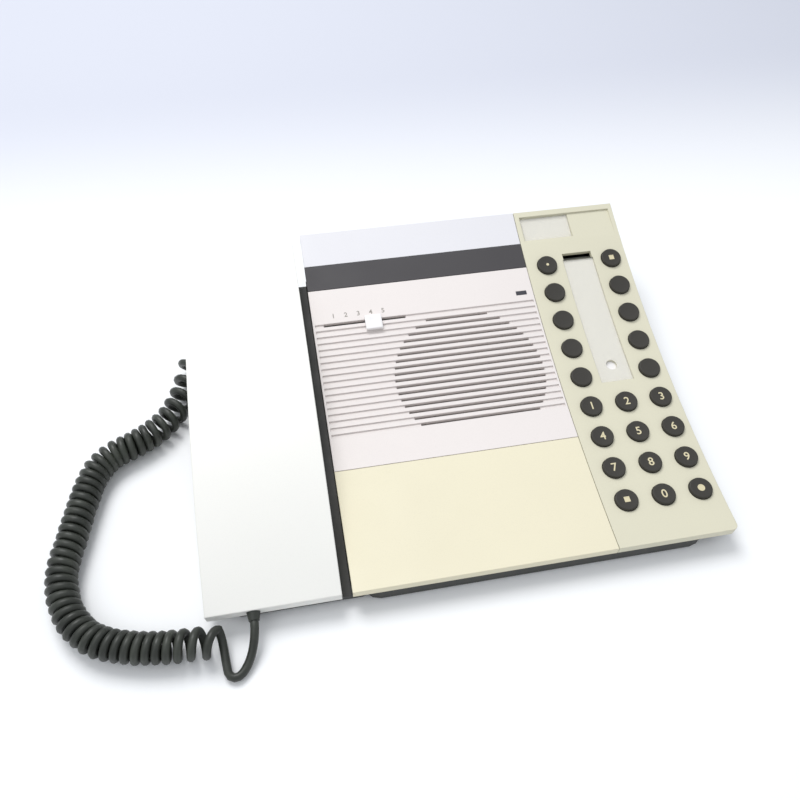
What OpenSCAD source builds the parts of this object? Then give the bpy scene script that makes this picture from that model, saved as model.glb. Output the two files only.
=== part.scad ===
// Desk intercom with a handset on its left: a dished slab of light covers on a dark tray.
// X runs to the right, Y to the back, Z up. The origin is on the table under the middle.
// Places on the dished top are given by s, the distance from the front edge along the top,
// and by a depth below the top.

/* [Overall] */
// Width of the body, without the handset
body_w = 192.5; // [188:0.5:200]
// Depth of the body at its top
body_d = 209; // [205:1:211]
// Height of the top at the front edge
front_h = 14; // [13.5:0.5:18]
// Radius of the dished top, seen from the side
dish_r = 633; // [600:1:700]

/* [Handset] */
// Length of the handset
hand_l = 213; // [206:1:220]
// Width of the handset
hand_w = 62.5; // [60:0.5:68]
// Height of the arch of the handset's top
hand_arch = 15; // [13:0.5:18]
// Thickness of the handset at its ends
hand_end_t = 7; // [6.5:0.5:9]
// Height of the handset's top edge at its front end
hand_front_h = 13.5; // [13:0.5:18]
// Slope of the resting handset
hand_tilt = 8; // [6:0.5:10]
// Gap between the handset and the body
hand_gap = 5; // [4:0.5:8]
// Thickness of the handset's walls
hand_wall = 2; // [1.6:0.1:2.4]
// Depth of the grip recess under the handset
grip_depth = 3; // [2:0.5:3.5]
// Length of the grip recess
grip_len = 88; // [80:1:90]
// Diameter of the receiver capsule
receiver_d = 36; // [32:1:38]
// Diameter of the microphone capsule in the handset
transmitter_d = 28; // [24:1:32]

/* [Covers] */
// Thickness of the top covers
wall = 2.5; // [2.2:0.1:2.8]
// Depth of the lips along the front and the sides
lip_h = 4.5; // [4:0.1:4.6]
// Depth of the lip along the rear
rear_lip_h = 8; // [6:0.5:9]
// Gap between two covers
joint = 0.3; // [0.2:0.05:0.6]
// Width of the keypad strip
keypad_w = 62.5; // [61.5:0.5:66]
// Length of the plain band behind the front panel
band_len = 19.3; // [17:0.1:21]
// Length of the plain panel that carries the volume marks
marks_len = 23; // [21:0.1:24]
// Length of the dark window strip
window_len = 16; // [15:0.1:18]
// Length of the light strip along the rear
rear_len = 21.5; // [20:0.1:23]
// Radius of the right-hand corners, seen from above
corner_r = 3; // [1:0.5:5]

/* [Slots] */
// Distance between two grooves
slot_pitch = 4; // [3.8:0.05:4.1]
// Width of a groove
slot_w = 1.8; // [1:0.1:2]
// Depth of a groove
groove_depth = 0.8; // [0.4:0.1:1.2]
// Number of grooves between the plain band and the slider
slot_count = 17; // [15:1:17]
// Plain margin at both ends of a groove
groove_margin = 1.2; // [0.8:0.1:3]
// Diameter of the round field in which the grooves go through
sound_field_d = 84; // [70:1:85]
// Diameter of the loudspeaker
speaker_d = 90; // [88:1:91]
// Diameter of the loudspeaker's magnet
magnet_d = 32; // [24:1:34]

/* [Keys] */
// Diameter of a key
key_d = 11.6; // [11:0.1:13]
// Height of a key above the top
key_h = 1.8; // [1.2:0.1:2.4]
// Height of the chamfer round the key's top
key_chamfer = 0.5; // [0.3:0.1:0.8]
// How far a key goes down
key_travel = 1.2; // [0.6:0.1:1.2]
// Clearance round a key
key_gap = 0.3; // [0.2:0.05:0.4]
// Distance between two columns of keys
col_pitch = 20; // [19.5:0.1:20]
// Distance from the front edge to the first row of keys
first_row = 24.4; // [24:0.1:26]
// Distance from the last row of keys to the rear edge
last_row = 38.2; // [38:0.1:40]
// Thickness of the rubber key mat
mat_t = 0.8; // [0.6:0.1:0.9]
// Thickness of a circuit board
board_t = 1.2; // [1:0.1:1.4]

/* [Labels] */
// Width of the channel for the index strip
index_w = 19; // [17:0.5:19]
// Depth of the channel for the index strip
index_depth = 1.5; // [1.4:0.05:1.7]
// Width of the name label
label_w = 30.2; // [26:0.1:31]
// Height of the name label
label_l = 16; // [13:0.1:16.2]
// Thickness of the clear label covers
lens_t = 0.6; // [0.4:0.1:0.8]
// Thickness of the printed cards
card_t = 0.3; // [0.2:0.05:0.4]
// Diameter of the microphone opening
mic_hole_d = 6.2; // [5:0.1:7]

/* [Volume slider] */
// Length of the slider's slot
slider_slot_l = 46.8; // [44:0.1:50]
// Width of the slider's slot
slider_slot_w = 2; // [1.6:0.1:2.4]
// Width of the slider's knob
knob_w = 9.5; // [8:0.1:10]
// Length of the slider's knob
knob_l = 9.2; // [8.5:0.1:11]
// Height of the slider's knob
knob_h = 2.2; // [1.6:0.1:3]

/* [Tray] */
// Thickness of the tray's walls
tray_wall = 2.5; // [2:0.1:3]
// Thickness of the tray's floor
floor_t = 2; // [2:0.1:2.2]
// Height of the rubber feet below the floor
foot_h = 1.5; // [1.2:0.1:1.7]
// Diameter of the rubber feet
foot_d = 14; // [10:1:16]
// How far the tray stands in from the body's right side
tray_inset = 14; // [10:0.5:16]
// Radius of the tray's upright corners
tray_corner_r = 8; // [4:0.5:10]
// Thickness of the cradle deck
deck_t = 2; // [1.8:0.1:2.2]
// Clearance between the resting handset and the deck
rest_gap = 0.3; // [0.2:0.05:0.4]
// Radius of the cable hole in the rear line bush
line_hole_r = 3.2; // [2.5:0.1:3.4]
// Length of the rear line bush
line_bush_l = 12; // [10:0.5:14]

/* [Cord] */
// Outer diameter of the curly cord
coil_d = 16; // [14:1:16]
// Diameter of the cord's strand
strand_d = 4; // [3.6:0.1:4.4]

/* [Hidden] */
DIGIT_ROWS = 4;
LINE_ROWS = 5;
digit_names = [
    ["key_m", "key_0", "key_c"],
    ["key_7", "key_8", "key_9"],
    ["key_4", "key_5", "key_6"],
    ["key_1", "key_2", "key_3"],
];
line_names = [
    ["line_key_left_4", "line_key_right_4"],
    ["line_key_left_3", "line_key_right_3"],
    ["line_key_left_2", "line_key_right_2"],
    ["line_key_left_1", "line_key_right_1"],
    ["call_key", "hold_key"],
];
fixed_names = [
    "base_tray", "cradle_deck", "rear_cover", "grille_cover", "front_panel",
    "keypad_cover", "display_window", "lamp_board", "label_lens", "index_lens",
    "name_cards", "call_lamp", "speaker_frame", "speaker_cone", "speaker_magnet",
    "speaker_cloth", "mic_capsule", "key_mats", "key_boards", "main_board",
    "board_parts", "line_transformer", "volume_slider", "hook_switch", "case_screws",
    "rubber_feet", "line_bush", "cord_bush", "curly_cord",
];
moving_names = [
    "volume_knob", "hook_plunger", "handset_upper", "handset_lower", "receiver_capsule",
    "transmitter_capsule", "handset_screws", "handset_bush",
];

$fn = 48;
arc_fn = 720;

light_grey = "#e4e4e6";
pinkish_white = "#eae4e2";
cream = "#e8e3c8";
key_cream = "#e2dfc0";
off_white = "#eeede6";
charcoal = "#3a3b38";
board_green = "#4c6b46";

// Overall places
total_w = hand_w + hand_gap + body_w;
left_x = -total_w / 2;
body_x0 = left_x + hand_w + hand_gap;
body_x1 = body_x0 + body_w;
seam_x = body_x1 - keypad_w;
total_d = hand_l * cos(hand_tilt) + hand_end_t * sin(hand_tilt);
front_y = -total_d / 2;
floor_z = foot_h + floor_t;

// Places along the top
end_s = dish_r * asin(body_d / dish_r) * PI / 180;
window_s1 = end_s - rear_len;
window_s0 = window_s1 - window_len;
slot0_s = window_s0 - marks_len;
band_s = slot0_s - slot_w / 2 - slot_pitch * slot_count;
front_len = band_s - band_len;

function dish_a(s) = s / dish_r * 180 / PI;
function dish_y(s) = front_y + dish_r * sin(dish_a(s));
function dish_z(s) = front_h + dish_r * (1 - cos(dish_a(s)));
function top_z(y) = front_h + dish_r - sqrt(pow(dish_r, 2) - pow(y - front_y, 2));
function rise(ds) = pow(ds, 2) / (2 * dish_r);

// A frame on the top: X to the right, Y along the top, Z out of it
module on_top(x, s) {
    translate([x, dish_y(s), dish_z(s)])
        rotate([dish_a(s), 0, 0])
            children();
}

// Sweeps a profile drawn as [depth, x] along the dished top
module swept(s0, s1) {
    translate([0, front_y, front_h + dish_r])
        rotate([0, 90, 0])
            rotate([0, 0, dish_a(s0)])
                rotate_extrude(angle = dish_a(s1 - s0), $fn = arc_fn)
                    translate([dish_r, 0])
                        children();
}

module strip(s0, s1, x0, x1, d0, d1) {
    swept(s0, s1)
        translate([d0, x0])
            square([d1 - d0, x1 - x0]);
}

// Everything above a surface that lies d below the top
module above_top(d) {
    translate([-total_w, 0, 0])
        rotate([90, 0, 90])
            linear_extrude(2 * total_w)
                intersection() {
                    translate([front_y, front_h + dish_r])
                        circle(r = dish_r + d, $fn = arc_fn);
                    translate([front_y - 5, -d])
                        square([body_d + 20, 120]);
                }
}

// The handset's frame: X from its left side, Y along it, Z up from the chord of its arch
hand_y = front_y + hand_l / 2 * cos(hand_tilt);
hand_z = hand_front_h + hand_l / 2 * sin(hand_tilt);

module on_hand() {
    translate([left_x, hand_y, hand_z])
        rotate([hand_tilt, 0, 0])
            children();
}

function hand_pt_y(u, w) = hand_y + u * cos(hand_tilt) - w * sin(hand_tilt);
function hand_pt_z(u, w) = hand_z + u * sin(hand_tilt) + w * cos(hand_tilt);

// The main part of the tray, under the body
seat_gap = 0.05;
tray_x0 = body_x0 + 5.5;
tray_x1 = body_x1 - tray_inset;
tray_y0 = front_y + 0.4;
tray_y1 = front_y + body_d - 6;

// The cradle part of the tray, under the handset
deck_inset = 12;
cradle_x0 = left_x + deck_inset;
cradle_y0 = front_y + wall + 0.2;
deck_w = -hand_end_t - rest_gap;
deck_x1 = body_x0 - joint;
deck_u0 = -hand_l / 2 + 1;
deck_u1 = hand_l / 2 - 28;
cradle_y1 = hand_pt_y(deck_u1, deck_w) - 0.5;

function deck_under_z(y) =
    hand_pt_z(0, deck_w - deck_t) + (y - hand_pt_y(0, deck_w - deck_t)) * tan(hand_tilt);

// Hook switch and its plunger, near the deck's rear end
hook_u = deck_u1 - 16.5;
hook_x = hand_w / 2;
hook_r = 4;
hook_gap = 0.4;
hook_rise = 4;
hook_l = 12;
hook_y = hand_pt_y(hook_u, deck_w);
hook_z = hand_pt_z(hook_u, deck_w);
switch_w = 6.4;
switch_l = 20;
switch_h = 10;
switch_top_z = hook_z - hook_l - joint;

// The wing of the tray, under the keys that stand out over its right wall
wing_depth = 8.8;
wing_t = 1.5;
slab_t = wing_depth + wing_t;
wing_out_x = body_x1 - 0.7;
wing_side = 2;
wing_slope = 3.3;
wing_s1 = end_s - wall - 2;

// Screw posts
post_r = 4.6;
boss_r = 4;
boss_h = 5;
screw_r = 1.45;
screw_clear = 0.15;
screw_head_r = 2.9;
screw_head_h = 2;
seat_t = 3;
deck_boss_h = 3;

post_x0 = body_x0 + 17.5;
post_x1 = seam_x - 12.5;
rear_post_y = front_y + body_d - 13.5;
key_post_x = seam_x + 24.5;
front_posts = [[post_x0, front_y + 21], [post_x1, front_y + 21]];
grille_posts = [
    [post_x0 - 3, dish_y(front_len + 12)],
    [post_x0 - 3, dish_y(slot0_s - 14.4)],
    [seam_x - 5.5, dish_y(front_len + 6)]
];
rear_posts = [[post_x0, rear_post_y], [post_x1, rear_post_y]];
key_posts = [[key_post_x, front_y + 10.5], [key_post_x, rear_post_y]];
deck_posts = [[cradle_x0 + 12, cradle_y0 + 63], [cradle_x0 + 12, hook_y - 16]];

function cover_joint_z(y) = top_z(y) - wall - boss_h;
function deck_joint_z(y) = deck_under_z(y) - deck_boss_h;
function joint_places() = concat(
    [for (p = concat(front_posts, grille_posts, rear_posts, key_posts))
        [p[0], p[1], cover_joint_z(p[1])]],
    [for (p = deck_posts) [p[0], p[1], deck_joint_z(p[1])]]
);

// Loudspeaker, on the middle of the round field
speaker_x = (body_x0 + seam_x) / 2 + 17;
speaker_s = (band_s + slot0_s) / 2 - 7.5;
speaker_a = dish_a(speaker_s);
cloth_t = 0.4;
seat_depth = wall + 1.1;
flange_t = 1.5;
basket_t = 1;
floor_gap = 0.8;

// The loudspeaker takes the room between the cloth and the floor
speaker_room = dish_z(speaker_s) - floor_z - floor_gap - magnet_d / 2 * sin(speaker_a);
speaker_depth = speaker_room / cos(speaker_a) - seat_depth - cloth_t;

// Keys
row_pitch = (end_s - last_row - first_row) / (DIGIT_ROWS + LINE_ROWS - 1);
key_x0 = seam_x + 12.5;
flange_r = key_d / 2 + 0.8;
key_flange_t = 0.8;
flange_depth = wall + 0.15;
mat_depth = flange_depth + key_flange_t + key_travel + 0.25;
digit_s = first_row + row_pitch * 2;
line_s = first_row + row_pitch * 6.5;
digit_half = row_pitch * 2 + 7.2;
line_half = row_pitch * 1.5 + 7.6;
board_x0 = seam_x + 6;
board_x1 = body_x1 - 6.5;
board_post_r = 2;

function row_s(r) = first_row + row_pitch * r;
function board_s(r) = r < LINE_ROWS ? digit_s : line_s;
function stem_len(r) =
    (mat_depth + rise(row_s(r) - board_s(r))) - flange_depth - key_flange_t - key_travel - 0.15;

// Index strip and labels
index_x = key_x0 + col_pitch;
index_s0 = row_s(DIGIT_ROWS) - 5;
index_s1 = row_s(8) + 2.6;
finger_len = 4.2;
mic_s = row_s(DIGIT_ROWS) + 6;
recess_s0 = end_s - 22;
recess_s1 = end_s - 3.5;
recess_left = 3;
recess_right = 2.5;
recess_depth = 1;
label_x = seam_x + recess_left + 0.3;
label_s0 = recess_s1 - 0.3 - label_l;
label_depth = 2.4;
label_tub_t = 1.6;
label_side = 2;
sheet_gap = 0.05;

// Volume slider: the knob rests at the fourth of five marks
slider_x0 = body_x0 + 6.1;
knob_x = slider_x0 + 28;
knob_s = slot0_s - 2;
neck_w = 5;
neck_t = 1.2;
neck_depth = 8;
slider_body_depth = 4.5;
slider_body_h = 8;

// Call lamp
lamp_x = seam_x - 7.2;
lamp_s = slot0_s + 6.2;
lamp_w = 6.4;
lamp_l = 2.7;

// Coil route: [x, y, z, radius], from the tray's left side to the handset's front end
cord_exit_y = 62;
cord_exit_z = 8;
bush_out = 8;
strand_r = strand_d / 2;
coil_r = coil_d / 2;
hand_exit_x = 21.5;
hand_exit_w = -hand_end_t / 2 - 0.2;
cord_route = [
    [-126.3, 62, 8, strand_r], [-128.5, 61.8, 8, strand_r], [-130, 57, 8, 3],
    [-130, 51, 8.2, coil_r], [-130, 44, 8.2, coil_r], [-131, 32, 8.2, coil_r], [-135, 22, 8.2, coil_r],
    [-142, 13, 8.2, coil_r], [-152, 5, 8.2, coil_r], [-164, -1, 8.2, coil_r], [-176, -7, 8.2, coil_r],
    [-184, -17, 8.2, coil_r], [-189, -34, 8.2, coil_r], [-193, -53, 8.2, coil_r], [-196, -68, 8.2, coil_r],
    [-195, -81, 8.2, coil_r], [-190, -94, 8.2, coil_r],
    [-180, -105, 8.2, coil_r], [-166, -111, 8.2, coil_r],
    [-151, -114, 8.2, coil_r], [-138, -115, 8.2, coil_r], [-130, -115.5, 8.2, coil_r],
    [-125, -117, 8.2, 7], [-124, -121, 6, 3], [-126, -126, 4, strand_r], [-124, -130, 3, strand_r],
    [-119, -129, 3, strand_r], [-113, -123, 4, strand_r],
    [-110, -117, 7, strand_r], [-108.5, -113, 9, strand_r],
    [-108.5, -109.7, 9.3, strand_r]
];
cord_sides = 8;

// ---------- Covers ----------

// A cover's skin with lips where it ends at an edge of the body
module cover_skin(s0, s1, x0, x1, left = false, right = false, front = false, rear = false) {
    difference() {
        strip(s0, s1, x0, x1, 0, rear ? rear_lip_h : lip_h);
        strip(
            front ? s0 + wall : s0 - 1, rear ? s1 - wall : s1 + 1,
            left ? x0 + wall : x0 - 2, right ? x1 - wall : x1 + 2, wall, rear_lip_h + 1
        );
        if (rear)
            strip(s0 - 1.5, s1 - 1.2 * wall, x0 - 1, x1 + 1, lip_h, rear_lip_h + 2);
    }
}

// Screw bosses that hang under a cover
module cover_bosses(places) {
    difference() {
        for (p = places)
            translate([p[0], p[1], cover_joint_z(p[1])])
                cylinder(r = boss_r, h = boss_h + wall);
        above_top(wall - 0.6);
    }
}

module boss_holes(places) {
    for (p = places)
        translate([p[0], p[1], cover_joint_z(p[1]) - 1])
            cylinder(r = screw_r + screw_clear, h = boss_h);
}

// Light grey strip along the rear
module rear_cover() {
    color(light_grey)
        difference() {
            union() {
                cover_skin(
                    window_s1 + joint / 2, end_s, body_x0, seam_x - joint / 2,
                    left = true, rear = true
                );
                cover_bosses(rear_posts);
                lamp_board_legs();
            }
            boss_holes(rear_posts);
        }
}

// Slotted cover over the loudspeaker, with the volume marks behind it
module grille_cover() {
    color(pinkish_white)
        difference() {
            union() {
                cover_skin(
                    front_len + joint / 2, window_s0 - joint / 2,
                    body_x0, seam_x - joint / 2, left = true
                );
                cover_bosses(grille_posts);
                speaker_seat();
                slider_legs();
            }
            grooves();
            slider_slot();
            boss_holes(grille_posts);
            on_top(lamp_x, lamp_s)
                cube([lamp_w, lamp_l, 3 * wall], center = true);
        }
}

// Grooves across the cover, going right through it inside the round field
module grooves() {
    on_top((body_x0 + seam_x) / 2, slot0_s)
        cube([seam_x - body_x0 - 2 * groove_margin, slot_w, 2 * groove_depth], center = true);
    for (k = [1 : slot_count])
        let (s = slot0_s - slot_pitch * k)
            let (half = sqrt(max(16, pow(sound_field_d / 2, 2) - pow(s - speaker_s, 2))))
                on_top(0, s)
                    translate([0, slot_w / 2, 0])
                        rotate([90, 0, 0])
                            linear_extrude(slot_w)
                                groove_outline(half);
}

module groove_outline(half) {
    polygon([
        [body_x0 + groove_margin, -groove_depth], [speaker_x - half, -groove_depth],
        [speaker_x - half, -2 * wall], [speaker_x + half, -2 * wall],
        [speaker_x + half, -groove_depth], [seam_x - groove_margin, -groove_depth],
        [seam_x - groove_margin, wall], [body_x0 + groove_margin, wall]
    ]);
}

module slider_slot() {
    on_top(slider_x0 + slider_slot_l / 2, slot0_s)
        cube([slider_slot_l, slider_slot_w, 3 * wall], center = true);
}

// Ring under the cover on which the loudspeaker seats
module speaker_seat() {
    difference() {
        on_top(speaker_x, speaker_s)
            translate([0, 0, -seat_depth])
                cylinder(r = speaker_d / 2, h = seat_depth + wall, $fn = 96);
        on_top(speaker_x, speaker_s)
            translate([0, 0, -seat_depth - 1])
                cylinder(r = sound_field_d / 2 + 1, h = seat_depth + wall + 3, $fn = 96);
        above_top(wall - 0.6);
    }
}

// Two legs under the cover that hold the slide potentiometer
module slider_legs() {
    for (dx = [3, slider_slot_l - 8])
        on_top(slider_x0 + dx, slot0_s)
            translate([0, slider_slot_w / 2 + 1, -slider_body_depth])
                cube([5, 2.5, slider_body_depth - 1.5]);
}

// Cream panel along the front
module front_panel() {
    color(cream)
        difference() {
            union() {
                cover_skin(
                    0, front_len - joint / 2, body_x0, seam_x - joint / 2,
                    left = true, front = true
                );
                cover_bosses(front_posts);
            }
            boss_holes(front_posts);
        }
}

// Dark see-through strip in front of the rear cover
module display_window() {
    color("#4a4b4a", 0.9)
        cover_skin(
            window_s0 + joint / 2, window_s1 - joint / 2,
            body_x0, seam_x - joint / 2, left = true
        );
}

// Cuts an upright corner of the body to a round one
module corner_cut(x, y, sx, sy) {
    translate([x, y, -1])
        linear_extrude(200)
            difference() {
                translate([min(0, sx * corner_r) - 0.5 + sx * 0.5, min(0, sy * corner_r) - 0.5 + sy * 0.5])
                    square([corner_r + 1, corner_r + 1]);
                circle(r = corner_r);
            }
}

// Cream strip with the keys, the index channel and the name label
module keypad_cover() {
    color(key_cream)
        difference() {
            union() {
                cover_skin(
                    0, end_s, seam_x + joint / 2, body_x1,
                    right = true, front = true, rear = true
                );
                cover_bosses(key_posts);
                strip(
                    label_s0 - label_side, end_s - 0.7 * wall, label_x - label_side,
                    label_x + label_w + label_side, wall - 0.5, label_depth + label_tub_t
                );
                board_posts(digit_s, 1.5 * row_pitch);
                board_posts(line_s, row_pitch);
            }
            key_holes();
            boss_holes(key_posts);
            strip(
                index_s0, index_s1, index_x - index_w / 2, index_x + index_w / 2,
                -1, index_depth
            );
            on_top(index_x, index_s1 + finger_len / 2)
                cube([index_w - 1, finger_len, 3 * wall], center = true);
            on_top(index_x, mic_s)
                cylinder(d = mic_hole_d, h = 4 * wall, center = true);
            name_recess();
            label_pocket(0);
            corner_cut(body_x1 - corner_r, front_y + corner_r, 1, -1);
        }
}

module key_holes() {
    for (r = [0 : LINE_ROWS + DIGIT_ROWS - 1])
        for (c = [0 : 2])
            if (r < DIGIT_ROWS || c != 1)
                on_top(key_x0 + col_pitch * c, row_s(r))
                    cylinder(d = key_d + 2 * key_gap, h = 4 * wall, center = true);
}

// Posts under the keypad cover on which a key board seats
module board_posts(s, ds) {
    for (x = [-col_pitch / 2, col_pitch / 2], k = [-1, 1])
        on_top(index_x + x, s)
            translate([0, k * ds, -mat_depth - mat_t])
                cylinder(r = board_post_r, h = mat_depth + mat_t - wall + 0.4 + rise(ds));
}

// The sunk field behind the keys runs out towards the front
module name_recess() {
    len = recess_s1 - recess_s0;
    slope = atan((recess_depth + rise(len)) / len);
    on_top(seam_x + recess_left, recess_s1)
        translate([0, 0, -recess_depth])
            rotate([-slope, 0, 0])
                translate([0, -len, 0])
                    cube([keypad_w - recess_left - recess_right, len, 4]);
}

module label_pocket(gap) {
    strip(
        label_s0 + gap, label_s0 + label_l - gap,
        label_x + gap, label_x + label_w - gap, -2, label_depth
    );
}

// ---------- Labels and lamps ----------

module label_lens() {
    d1 = label_depth - card_t - 2 * sheet_gap;
    color("white", 0.5)
        strip(
            label_s0 + 0.1, label_s0 + label_l - 0.1,
            label_x + 0.1, label_x + label_w - 0.1, d1 - lens_t, d1
        );
}

module index_lens() {
    d1 = index_depth - card_t - 2 * sheet_gap;
    color("white", 0.5)
        difference() {
            strip(
                index_s0 + 0.1, index_s1 - 0.1,
                index_x - index_w / 2 + 0.1, index_x + index_w / 2 - 0.1, d1 - lens_t, d1
            );
            on_top(index_x, mic_s)
                cylinder(d = mic_hole_d, h = 4 * wall, center = true);
        }
}

// Printed cards under the two clear covers
module name_cards() {
    color("ivory") {
        strip(
            label_s0 + 0.1, label_s0 + label_l - 0.1,
            label_x + 0.1, label_x + label_w - 0.1,
            label_depth - sheet_gap - card_t, label_depth - sheet_gap
        );
        difference() {
            strip(
                index_s0 + 0.1, index_s1 - 0.1,
                index_x - index_w / 2 + 0.1, index_x + index_w / 2 - 0.1,
                index_depth - sheet_gap - card_t, index_depth - sheet_gap
            );
            on_top(index_x, mic_s)
                cylinder(d = mic_hole_d, h = 4 * wall, center = true);
        }
    }
}

module call_lamp() {
    color("#3c3f45")
        on_top(lamp_x, lamp_s) {
            translate([0, 0, -wall / 2])
                cube([lamp_w - 0.2, lamp_l - 0.2, wall], center = true);
            translate([0, 0, -wall - 1])
                cube([lamp_w + 2, lamp_l + 2, 2], center = true);
        }
}

// Board with a row of lamps behind the window strip
lamp_board_s = window_s1 - 4;
lamp_board_half = 10;
lamp_board_depth = 8;
lamp_board_gap = 3.9;
lamp_board_x = post_x0 + post_r + lamp_board_gap;
lamp_board_l = post_x1 - post_r - lamp_board_gap - lamp_board_x;
lamp_board_end = 6;
lamp_count = 8;
lamp_pitch = (lamp_board_l - 2 * lamp_board_end) / (lamp_count - 1);

module lamp_board() {
    color(board_green)
        on_top(0, lamp_board_s) {
            translate([lamp_board_x, -lamp_board_half, -lamp_board_depth - board_t])
                cube([lamp_board_l, 2 * lamp_board_half, board_t]);
            for (k = [0 : lamp_count - 1])
                translate([lamp_board_x + lamp_board_end + lamp_pitch * k, -4.5, -lamp_board_depth])
                    cylinder(r = 1.5, h = 4.6);
        }
}

module lamp_board_legs() {
    ds = 7.5;
    for (x = [lamp_board_x + lamp_board_end, lamp_board_x + lamp_board_l - lamp_board_end])
        on_top(x, lamp_board_s)
            translate([0, ds, -lamp_board_depth])
                cylinder(r = 2.5, h = lamp_board_depth - wall + 0.4 + rise(ds));
}

// ---------- Loudspeaker and microphone ----------

module speaker_cloth() {
    color("#2a2a2a")
        on_top(speaker_x, speaker_s)
            translate([0, 0, -seat_depth - cloth_t])
                cylinder(d = speaker_d, h = cloth_t, $fn = 96);
}

speaker_top = -seat_depth - cloth_t;
basket_r0 = speaker_d / 2 - 6;
basket_r1 = magnet_d / 2 + 1;

magnet_h = 4;
voice_r = 8;
basket_low = magnet_h - speaker_depth;
step_d = 2.4;

module speaker_frame() {
    color("silver")
        on_top(speaker_x, speaker_s)
            translate([0, 0, speaker_top])
                rotate_extrude($fn = 96)
                    polygon([
                        [basket_r0 - 1, 0], [speaker_d / 2, 0], [speaker_d / 2, -flange_t],
                        [basket_r0, -flange_t], [basket_r0, -step_d - basket_t],
                        [basket_r1, basket_low + basket_t], [basket_r1, basket_low],
                        [voice_r, basket_low], [voice_r, basket_low + 2 * basket_t],
                        [basket_r1 - 1, basket_low + 2 * basket_t], [basket_r0 - 1, -step_d]
                    ]);
}

module speaker_cone() {
    low = basket_low + 2 * basket_t + 0.3;
    color("#55534e")
        on_top(speaker_x, speaker_s)
            translate([0, 0, speaker_top])
                rotate_extrude($fn = 96)
                    polygon([
                        [0, low + 2.5], [4, low + 2], [voice_r, low + 0.5], [basket_r0 - 3.5, -0.9],
                        [basket_r0 - 1.5, -0.9], [basket_r0 - 1.5, -1.5], [basket_r0 - 3.5, -1.5],
                        [voice_r, low], [0, low]
                    ]);
}

module speaker_magnet() {
    color("dimgray")
        on_top(speaker_x, speaker_s)
            translate([0, 0, speaker_top - speaker_depth])
                cylinder(d = magnet_d, h = magnet_h);
}

module mic_capsule() {
    color("silver")
        on_top(index_x, mic_s)
            translate([0, 0, -mat_depth])
                cylinder(d = mic_hole_d + 3.4, h = mat_depth - wall - 0.1);
}

// ---------- Keys ----------

module key(r, x) {
    skirt = flange_depth;
    color(charcoal)
        on_top(x, row_s(r)) {
            translate([0, 0, -skirt])
                cylinder(d = key_d, h = skirt + key_h - key_chamfer);
            translate([0, 0, key_h - key_chamfer])
                cylinder(d1 = key_d, d2 = key_d - 2 * key_chamfer, h = key_chamfer);
            translate([0, 0, -skirt - key_flange_t])
                cylinder(r = flange_r, h = key_flange_t);
            translate([0, 0, -skirt - key_flange_t - stem_len(r)])
                cylinder(r = 3, h = stem_len(r) + 0.1);
        }
}

module key_named(name) {
    for (r = [0 : DIGIT_ROWS - 1], c = [0 : 2])
        if (digit_names[r][c] == name)
            key(r, key_x0 + col_pitch * c);
    for (r = [0 : LINE_ROWS - 1], c = [0 : 1])
        if (line_names[r][c] == name)
            key(DIGIT_ROWS + r, key_x0 + 2 * col_pitch * c);
}

module key_sheet(s, half, t, depth, side) {
    on_top(0, s)
        translate([board_x0 + side, -half, -depth - t])
            cube([board_x1 - board_x0 - 2 * side, 2 * half, t]);
}

// Rubber mats under the keys, one for each key board
module key_mats() {
    color("#8d8f88") {
        difference() {
            key_sheet(digit_s, digit_half - 0.5, mat_t, mat_depth, 0.5);
            mat_holes(digit_s, 1.5 * row_pitch);
        }
        difference() {
            key_sheet(line_s, line_half - 0.5, mat_t, mat_depth, 0.5);
            mat_holes(line_s, row_pitch);
        }
    }
}

module mat_holes(s, ds) {
    for (x = [-col_pitch / 2, col_pitch / 2], k = [-1, 1])
        on_top(index_x + x, s)
            translate([0, k * ds, -mat_depth - mat_t - 1])
                cylinder(r = board_post_r + 0.5, h = mat_t + 2);
}

module key_boards() {
    color(board_green) {
        key_sheet(digit_s, digit_half, board_t, mat_depth + mat_t, 0);
        key_sheet(line_s, line_half, board_t, mat_depth + mat_t, 0);
    }
}

// ---------- Volume slider ----------

module volume_knob() {
    color(pinkish_white)
        on_top(knob_x, knob_s) {
            translate([-knob_w / 2, -knob_l / 2, 0.3])
                cube([knob_w, knob_l, knob_h]);
            translate([-neck_w / 2, slot0_s - knob_s - neck_t / 2, -neck_depth])
                cube([neck_w, neck_t, neck_depth + 1]);
        }
}

module volume_slider() {
    color("dimgray")
        on_top(slider_x0, slot0_s)
            difference() {
                translate([2.4, -4.5, -slider_body_depth - slider_body_h])
                    cube([slider_slot_l - 4.8, 9, slider_body_h]);
                translate([3.4, -neck_t, -slider_body_depth - slider_body_h + 2])
                    cube([slider_slot_l - 6.8, 2 * neck_t, slider_body_h]);
            }
}

// ---------- Tray and what it holds ----------

module upright_box(x0, x1, y0, y1, z0, z1, r) {
    translate([0, 0, z0])
        linear_extrude(z1 - z0)
            rounded_rect(x0, x1, y0, y1, r);
}

// A rectangle whose corners are broken into three flats
module rounded_rect(x0, x1, y0, y1, r) {
    polygon([
        for (q = [
            [x1 - r, y1 - r, 0], [x0 + r, y1 - r, 90],
            [x0 + r, y0 + r, 180], [x1 - r, y0 + r, 270]
        ])
            for (a = [0 : 30 : 90])
                [q[0] + r * cos(q[2] + a), q[1] + r * sin(q[2] + a)]
    ]);
}

tray_top = 60;
passage_l = 30;
passage_h = 4;

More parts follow.
